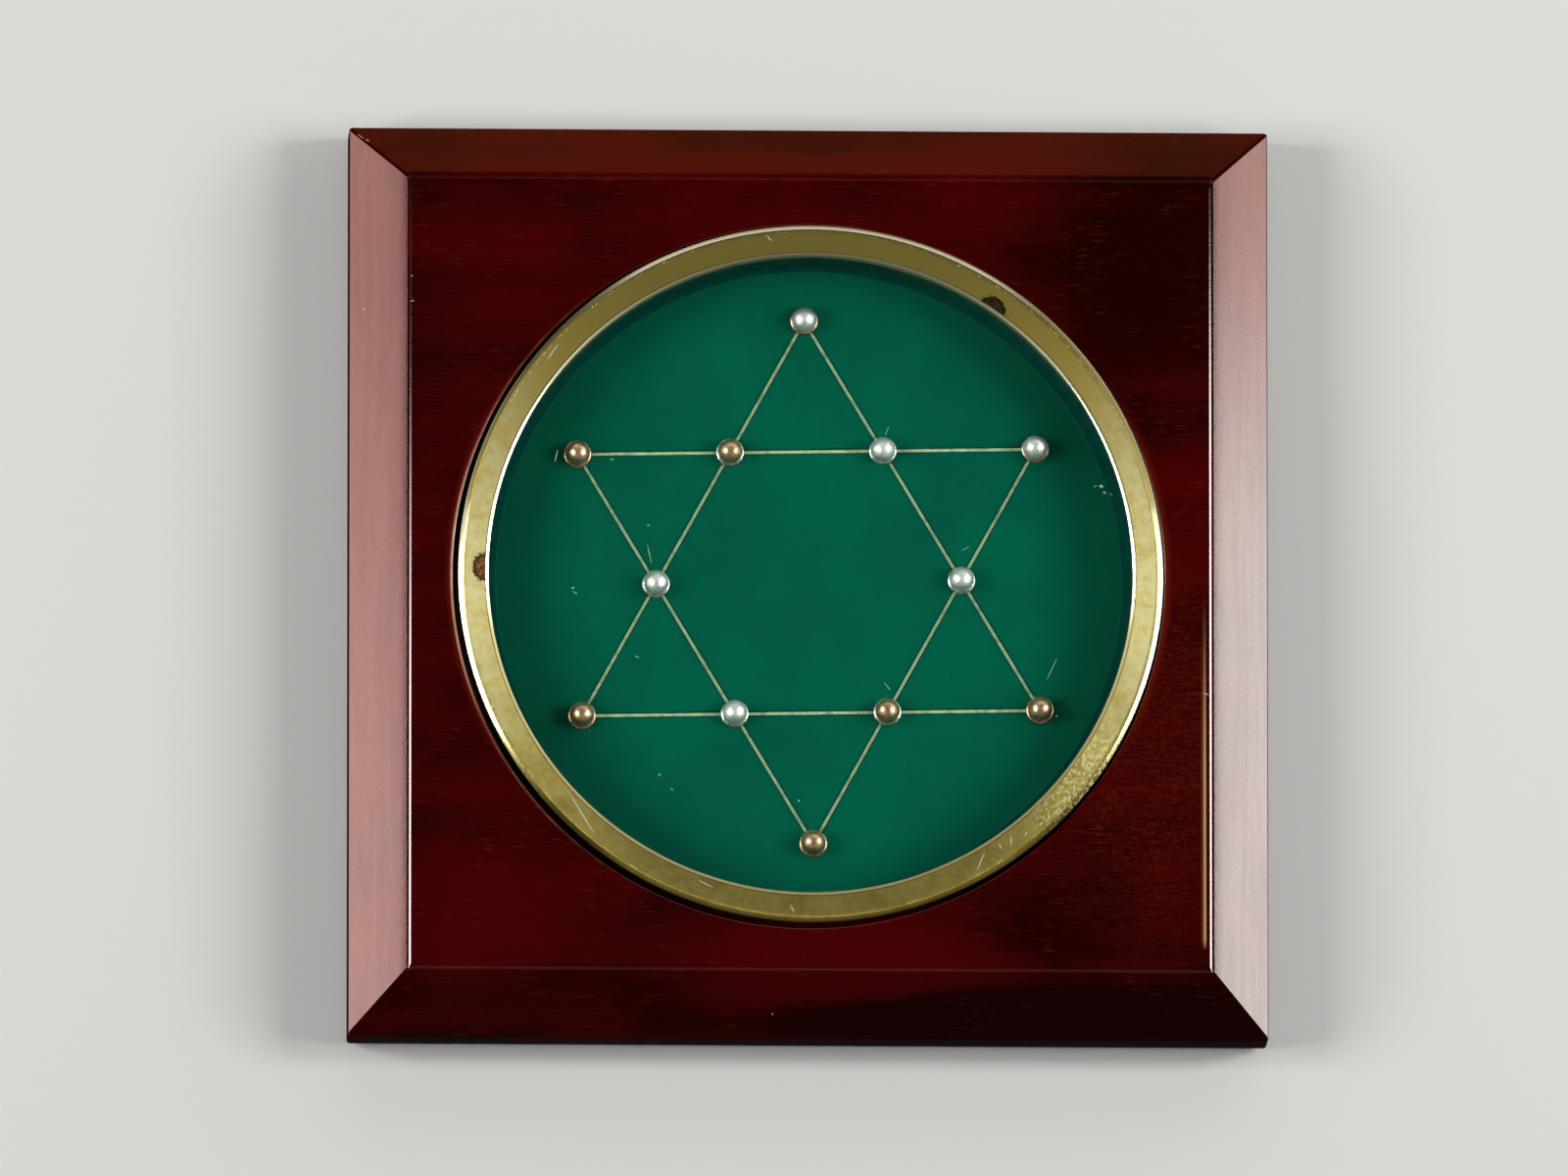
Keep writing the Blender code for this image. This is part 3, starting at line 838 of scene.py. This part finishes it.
def slip_profile(low, high):
    """Up the inner wall, over the sloping top and its crest, and down outside."""
    outer = (high.x - low.x) / 2
    inner = outer - slip_wall
    foot = (inner, high.z - slip_slope_drop)
    crest = (outer + slip_lip - slip_crest_run, high.z)
    brink = (outer + slip_lip, high.z - slip_lip_height)
    return np.concatenate([
        rounding((inner, low.z), foot, crest, slip_rounding, 5),
        rounding(foot, crest, brink, slip_rounding, 7),
        np.array([brink, (outer, high.z - 2 * slip_lip_height), (outer, low.z),
                  (inner, low.z)])])


slip_ring = turned_surface("brass_slip", slip_profile(*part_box("slip_ring")), ring_columns)
slip_ring.data.materials.append(make_slip_brass())
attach(slip_ring, "puzzle")
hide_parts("slip_ring")

# Solder tacks
# Drops of soft solder under the band that join it to the slip ring. Only the heat marks
# beside them show from above.
solder_bright = (0.520, 0.510, 0.480, 1.0)
solder_dull = (0.280, 0.270, 0.250, 1.0)
solder = make_metal("soft_solder", solder_bright, solder_dull, 0.40, plate_tarnish_scale, 400.0)
for node_name in sorted(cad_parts):
    if node_name.startswith("solder_tack_"):
        dress_node(node_name, solder)

# Bezel
# Brass turned in one piece: a skirt down to the ledge, a flat band with a fine turned
# finish, and a low bead, sloping outwards, that stands just above the wood.
band_width = 0.0038
band_thickness = 0.0009
bead_width = 0.0011
bead_rise = 0.0004
bead_crest_run = 0.00030       # from the bead's foot out to its crest
bead_brink = 0.00006           # how far the bead's slope ends below the band
bead_rounding = 0.00010
bead_drop = 0.0010
skirt_step = 0.0005
skirt_wall = 0.0008
brass_bright = (0.940, 0.790, 0.230, 1.0)
brass_dull = (0.690, 0.550, 0.130, 1.0)
# Painted highlight at the band's sides, and painted highlight and shade on the bead:
brass_painted_highlight = (0.860, 0.810, 0.430, 1.0)
bead_painted_highlight = (0.900, 0.840, 0.580, 1.0)
bead_shade = (0.400, 0.330, 0.110, 1.0)
bead_roughness = 0.24
band_roughness = 0.47
bead_highlight_from = (-0.042, -0.012)
bead_shade_from = (0.009, 0.014)
bead_shade_side = (0.030, 0.044)
band_tone_from = (-0.030, 0.062)
band_highlight_side = (0.046, 0.063)
turned_lines = 380.0
band_tarnish_scale = 130.0
nick_depth = 0.00005
stain_depth = 0.0021           # of a heat mark, outwards from the band's inner edge
stain_length = 0.0025          # half the length of a mark that is as deep as this
stain_edge = (0.070, 0.040, 0.018, 1.0)
heat_stains = (                # angle in degrees, half length, and the mark's own colour
    (56.0, 0.0027, (0.130, 0.100, 0.040, 1.0)),
    (179.2, 0.0029, (0.480, 0.170, 0.060, 1.0)),
)
# Painted glints, and where they lie:
brass_painted_glint = (1.0, 0.930, 0.420, 1.0)
glint_middle = (0.0490, -0.0385)
glint_reach = (0.012, 0.017)
pale_scratch_and_glint = (1.0, 0.980, 0.820, 1.0)
scratch_half_width = 0.00007
scratch_and_glint_ends = (               # radius in millimetres and angle in degrees at either end; the short ones at the outer edge are painted glints
    (62.5, 96.6, 63.8, 97.4), (60.6, 222.0, 63.4, 231.5), (62.0, 266.5, 63.5, 267.3),
    (61.0, 250.0, 61.5, 253.0), (62.8, 141.0, 63.2, 137.5), (63.2, 299.0, 60.9, 301.9),
    (61.1, 307.1, 62.8, 306.1), (61.0, 304.6, 62.2, 304.5), (62.7, 309.0, 62.4, 309.8),
    (63.1, 312.1, 63.0, 312.9), (63.3, 313.5, 63.0, 314.4), (63.5, 315.4, 63.0, 316.3),
    (63.4, 318.4, 63.0, 319.5), (63.4, 319.6, 62.9, 320.9), (63.1, 324.2, 62.7, 325.4),
)


def bezel_profile(low, high):
    """The band's top, the bead, the step in to the skirt, and back up inside."""
    radius = (high.x - low.x) / 2
    band_z = high.z - bead_rise
    bead_inner = radius - bead_width
    band_inner = bead_inner - band_width
    skirt = radius - skirt_step
    foot = (bead_inner, band_z)
    crest = (bead_inner + bead_crest_run, high.z)
    brink = (radius, band_z - bead_brink)
    drop = (radius, band_z - bead_drop)
    bead = rounding(foot, crest, brink, bead_rounding, 7)
    bead[:, 1] = band_z + (bead[:, 1] - band_z) * bead_rise / (bead[:, 1].max() - band_z)
    return np.concatenate([
        np.array([(band_inner, band_z), (bead_inner - band_width / 2, band_z), foot]), bead,
        rounding(crest, brink, drop, bead_rounding, 5),
        np.array([drop, (skirt, band_z - bead_drop), (skirt, low.z),
                  (skirt - skirt_wall, low.z), (skirt - skirt_wall, band_z - band_thickness),
                  (band_inner, band_z - band_thickness)])])


def scratch_and_glint_marks():
    """Each scratch and painted glint as a thin oval between its two ends."""
    ends = np.array(scratch_and_glint_ends)
    radius, angle = ends[:, (0, 2)] / 1000.0, np.radians(ends[:, (1, 3)])
    x, y = radius * np.cos(angle), radius * np.sin(angle)
    run, rise = x[:, 1] - x[:, 0], y[:, 1] - y[:, 0]
    half_width = np.full(len(ends), scratch_half_width)
    return np.stack([x.mean(axis=1), y.mean(axis=1), np.hypot(run, rise) / 2, half_width,
                     np.arctan2(rise, run)], axis=-1).tolist()


def add_heat_stain(tree, place, colour, stain, inner_radius):
    """Tarnish burnt in by the iron: an oval at the band's inner edge with a dark rim."""
    degrees, half_length, heart = stain
    turn = math.radians(degrees)
    middle = (inner_radius * math.cos(turn), inner_radius * math.sin(turn))
    half_depth = stain_depth * half_length / stain_length
    reach = add_oval_reach(tree, place, middle, (half_depth, half_length), turn)
    ragged = add_math(tree, "MULTIPLY_ADD", add_noise(tree, place, 1400.0, 3.0, 0.6), 0.7, reach)
    colour = add_mix(tree, add_range(tree, ragged, 1.35, 1.20), colour, stain_edge)
    mottled = add_range(tree, add_noise(tree, place, 2200.0, 3.0, 0.7), 0.38, 0.62)
    heart = add_mix(tree, mottled, stain_edge, heart)
    return add_mix(tree, add_range(tree, ragged, 1.15, 0.85), colour, heart)


def make_brass(inner_radius, bead_inner):
    """Satin brass whose turned lines run round, a smoother bead, heat marks and scratches, with
    painted highlights, glints and shade.
    """
    material, tree, shader = new_material("turned_brass")
    marks = add_handling_marks(tree, band_tarnish_scale, 90.0)
    place = add_place(tree)
    along_x, along_y, _ = add_axes(tree, place)
    reach = add_oval_reach(tree, place, (0.0, 0.0), (bead_inner, bead_inner))
    lines = add_node(tree, "ShaderNodeTexNoise",
                     {"W": add_product(tree, reach, turned_lines), "Scale": 1.0, "Detail": 3.0},
                     noise_dimensions="1D")
    rubs = add_noise(tree, place, 420.0, 3.0, 0.65)
    tarnish = add_product(tree, marks.outputs["Tarnish"], 0.30)
    tone = add_math(tree, "MULTIPLY_ADD", lines.outputs["Fac"], 0.6, tarnish)
    tone = add_math(tree, "MULTIPLY_ADD", rubs, 0.75, tone)
    # The band goes duller towards the back.
    tone = add_math(tree, "MULTIPLY_ADD", add_range(tree, along_y, *band_tone_from), 0.55, tone)
    colour = add_mix(tree, add_range(tree, tone, 0.50, 1.05), brass_bright, brass_dull)
    sideways = add_math(tree, "ABSOLUTE", along_x)
    # Painted highlight: the band paler at the left and right, broken up by rub noise.
    band_painted_highlight = add_product(tree, add_range(tree, sideways, *band_highlight_side),
                        add_range(tree, rubs, 0.85, 0.30))
    colour = add_mix(tree, add_product(tree, band_painted_highlight, 0.9), colour, brass_painted_highlight)
    on_bead = add_range(tree, reach, 0.998, 1.002)
    # Painted highlight: the bead paler all round but its front.
    from_front = add_range(tree, along_y, *bead_highlight_from)
    colour = add_mix(tree, add_product(tree, on_bead, from_front), colour, bead_painted_highlight)
    shaded = add_product(tree, on_bead, add_range(tree, reach, 1.0160, 1.0135))
    shaded = add_product(tree, shaded, add_range(tree, along_y, *bead_shade_from))
    shaded = add_product(tree, shaded, add_range(tree, sideways, *bead_shade_side))
    colour = add_mix(tree, shaded, colour, bead_shade)
    # Painted glints: bright gold specks on the band at the front right.
    painted_glints = add_range(tree, add_noise(tree, place, 1400.0, 3.0, 0.7), 0.46, 0.60)
    near = add_range(tree, add_oval_reach(tree, place, glint_middle, glint_reach), 1.1, 0.4)
    painted_glints = add_product(tree, painted_glints, near)
    colour = add_mix(tree, painted_glints, colour, brass_painted_glint)
    for stain in heat_stains:
        colour = add_heat_stain(tree, place, colour, stain, inner_radius)
    # Pale scratches, some of them painted glints, less metallic where they lie.
    scratches = add_marks(tree, place, scratch_and_glint_marks())
    colour = add_mix(tree, scratches, colour, pale_scratch_and_glint)
    rough = add_math(tree, "MULTIPLY_ADD", on_bead, bead_roughness - band_roughness, band_roughness)
    rough = add_math(tree, "MULTIPLY_ADD", painted_glints, 0.12, rough)
    rough = add_math(tree, "MULTIPLY_ADD", shaded, band_roughness - bead_roughness, rough)
    nicks = add_noise(tree, place, 1500.0, 2.0, 0.6)
    foot = add_span(tree, reach, 0.996, 0.999, 1.001, 1.005)
    height = add_product(tree, add_range(tree, nicks, 0.50, 0.70), foot)
    round_lines = add_node(tree, "ShaderNodeTangent", direction_type="RADIAL", axis="Z")
    set_sockets(tree, shader, {
        "Base Color": colour,
        "Metallic": add_math(tree, "MULTIPLY_ADD", scratches, -0.8, 1.0),
        "Roughness": rough,
        "Normal": add_bump(tree, height, nick_depth),
        "Tangent": round_lines.outputs[0],
        "Anisotropic": 0.60,
        "Anisotropic Rotation": 0.25,
    })
    return material


bezel_low, bezel_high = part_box("bezel_ring")
bead_start = (bezel_high.x - bezel_low.x) / 2 - bead_width
bezel = turned_surface("turned_bezel", bezel_profile(bezel_low, bezel_high), ring_columns)
bezel.data.materials.append(make_brass(bead_start - band_width, bead_start))
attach(bezel, "puzzle")
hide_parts("bezel_ring")

# Floor
# A plain pale sheet under the puzzle, matte, which keeps its shadow.
floor_half_width = 3.0
floor_colour = (0.80, 0.80, 0.79, 1.0)


def make_floor():
    material, tree, shader = new_material("pale_floor")
    set_sockets(tree, shader, {
        "Base Color": floor_colour,
        "Roughness": 0.9,
        "Specular IOR Level": 0.1,
    })
    return material


floor_mesh = bpy.data.meshes.new("floor")
floor_corners = np.array([(-1, -1, 0), (1, -1, 0), (1, 1, 0), (-1, 1, 0)]) * floor_half_width
floor_mesh.from_pydata(floor_corners.tolist(), [], [(0, 1, 2, 3)])
floor_mesh.materials.append(make_floor())
floor = add_object("floor", floor_mesh)
floor.visible_glossy = False

# Lamps
# Soft boxes hang round the puzzle, with bright cores at its left and right, and lower
# panels stand beside it where its sloping edges mirror them.
lamp_distance = 1.2


def add_soft_box(name, side, near_angle, far_angle, ends, brightness, colour, fade=None,
                 far_colour=(0.0, 0.0, 0.0)):
    """A rectangular lamp that faces the puzzle from one side.

    It spans the angles from straight up in the plane of side and Z, and reaches between
    its two ends, in metres across that plane towards +Y or +X. Its power follows from its
    brightness, which is that of a white sheet in plain light where it is 1. Its colour
    goes over to far_colour between the two places of fade.
    """
    middle = (near_angle + far_angle) / 2
    towards = Vector((side[0] * math.sin(middle), side[1] * math.sin(middle), math.cos(middle)))
    across = Vector((abs(side[1]), abs(side[0]), 0.0))
    lamp_data = bpy.data.lights.new(name, "AREA")
    lamp_data.shape = "RECTANGLE"
    lamp_data.size = ends[1] - ends[0]
    lamp_data.size_y = 2 * lamp_distance * math.tan((far_angle - near_angle) / 2)
    lamp_data.energy = brightness * math.pi * lamp_data.size * lamp_data.size_y
    if fade is None:
        lamp_data.color = colour
    else:
        lamp_data.use_nodes = True
        tree = lamp_data.node_tree
        shape = add_node(tree, "ShaderNodeNewGeometry")
        low, high = ((place - ends[0]) / (ends[1] - ends[0]) for place in fade)
        share = add_range(tree, add_axes(tree, shape.outputs["Parametric"])[0], low, high)
        fading = add_mix(tree, share, (*colour, 1.0), (*far_colour, 1.0))
        set_sockets(tree, tree.nodes["Emission"], {"Color": fading})
    lamp = add_object(name, lamp_data)
    turn = Matrix((across, towards.cross(across), towards)).transposed().to_4x4()
    across_middle = across * (ends[0] + ends[1]) / 2
    lamp.matrix_world = Matrix.Translation(towards * lamp_distance + across_middle) @ turn
    lamp.visible_camera = False


left = (-1.0, 0.0)
right = (1.0, 0.0)
behind = (0.0, 1.0)
ahead = (0.0, -1.0)
lamp_white = (1.0, 0.99, 0.97)
left_rose = (1.0, 0.59, 0.53)
left_rose_deep = (0.71, 0.365, 0.320)
right_rose = (1.0, 0.885, 0.845)
right_rose_deep = (0.66, 0.390, 0.340)
back_amber = (1.0, 0.19, 0.05)
room_grey = (0.01, 0.01, 0.01, 1.0)
core_angles = (math.radians(41), math.radians(62))
high_angles = (math.radians(44), math.radians(71))
low_angles = (math.radians(27), math.radians(55))
left_panel_angles = (math.radians(89), math.radians(104))
right_panel_angles = (math.radians(93), math.radians(108))
back_glow_angles = (math.radians(80), math.radians(112))
panel_ends = (-0.35, 0.60)
add_soft_box("left_core", left, *core_angles, (0.06, 0.26), 18.0, lamp_white, (0.150, 0.235))
add_soft_box("right_core", right, *core_angles, (0.06, 0.28), 17.8, lamp_white, (0.215, 0.262))
add_soft_box("left_lower_core", left, *core_angles, (-0.33, 0.06), 9.0, lamp_white)
add_soft_box("right_lower_core", right, *core_angles, (-0.28, 0.06), 9.0, lamp_white)
add_soft_box("left_far_box", left, *high_angles, (0.30, 0.95), 0.5, lamp_white)
add_soft_box("right_far_box", right, *high_angles, (0.32, 1.00), 1.2, lamp_white)
add_soft_box("back_box", behind, *high_angles, (-0.55, 1.2), 1.0, lamp_white)
add_soft_box("front_box", ahead, *low_angles, (-0.7, 1.0), 0.16, lamp_white)
add_soft_box("left_panel", left, *left_panel_angles, panel_ends, 6.5, left_rose,
             (0.12, 0.27), left_rose_deep)
add_soft_box("right_panel", right, *right_panel_angles, panel_ends, 8.0, right_rose,
             (0.18, 0.27), right_rose_deep)
add_soft_box("back_glow", behind, *back_glow_angles, (-0.6, 0.6), 0.33, back_amber)
world = bpy.data.worlds.new("room")
world.use_nodes = True
set_sockets(world.node_tree, world.node_tree.nodes["Background"],
            {"Color": room_grey, "Strength": 1.0})
bpy.context.scene.world = world
bpy.context.scene.view_settings.view_transform = "Standard"

# Camera
# It looks almost straight down from far off, leaning to the player's side and a little
# to the left, as the photograph does.
picture_width = 1600
pixels_per_metre = 5525.0
camera_distance = 8.0
sharp_height = 0.015           # where the scale is as measured
camera_lean = math.radians(9.17)
camera_pan = math.radians(2.15)
base_middle_pixel = (822.56, 605.34)
picture_middle_pixel = (800.0, 600.0)


def add_camera():
    """A long lens whose picture holds the photograph's 290 mm, aimed at its middle."""
    right = Vector((math.cos(camera_pan), 0.0, math.sin(camera_pan)))
    up = Vector((-math.sin(camera_pan) * math.sin(camera_lean), math.cos(camera_lean),
                 math.cos(camera_pan) * math.sin(camera_lean)))
    back = right.cross(up)
    aim = (right * (picture_middle_pixel[0] - base_middle_pixel[0])
           + up * (base_middle_pixel[1] - picture_middle_pixel[1])) / pixels_per_metre
    data = bpy.data.cameras.new("camera")
    data.lens = (data.sensor_width * (camera_distance - sharp_height) * pixels_per_metre
                 / picture_width)
    camera = add_object("camera", data)
    turn = Matrix((right, up, back)).transposed().to_4x4()
    camera.matrix_world = Matrix.Translation(aim + back * camera_distance) @ turn
    bpy.context.scene.camera = camera


add_camera()
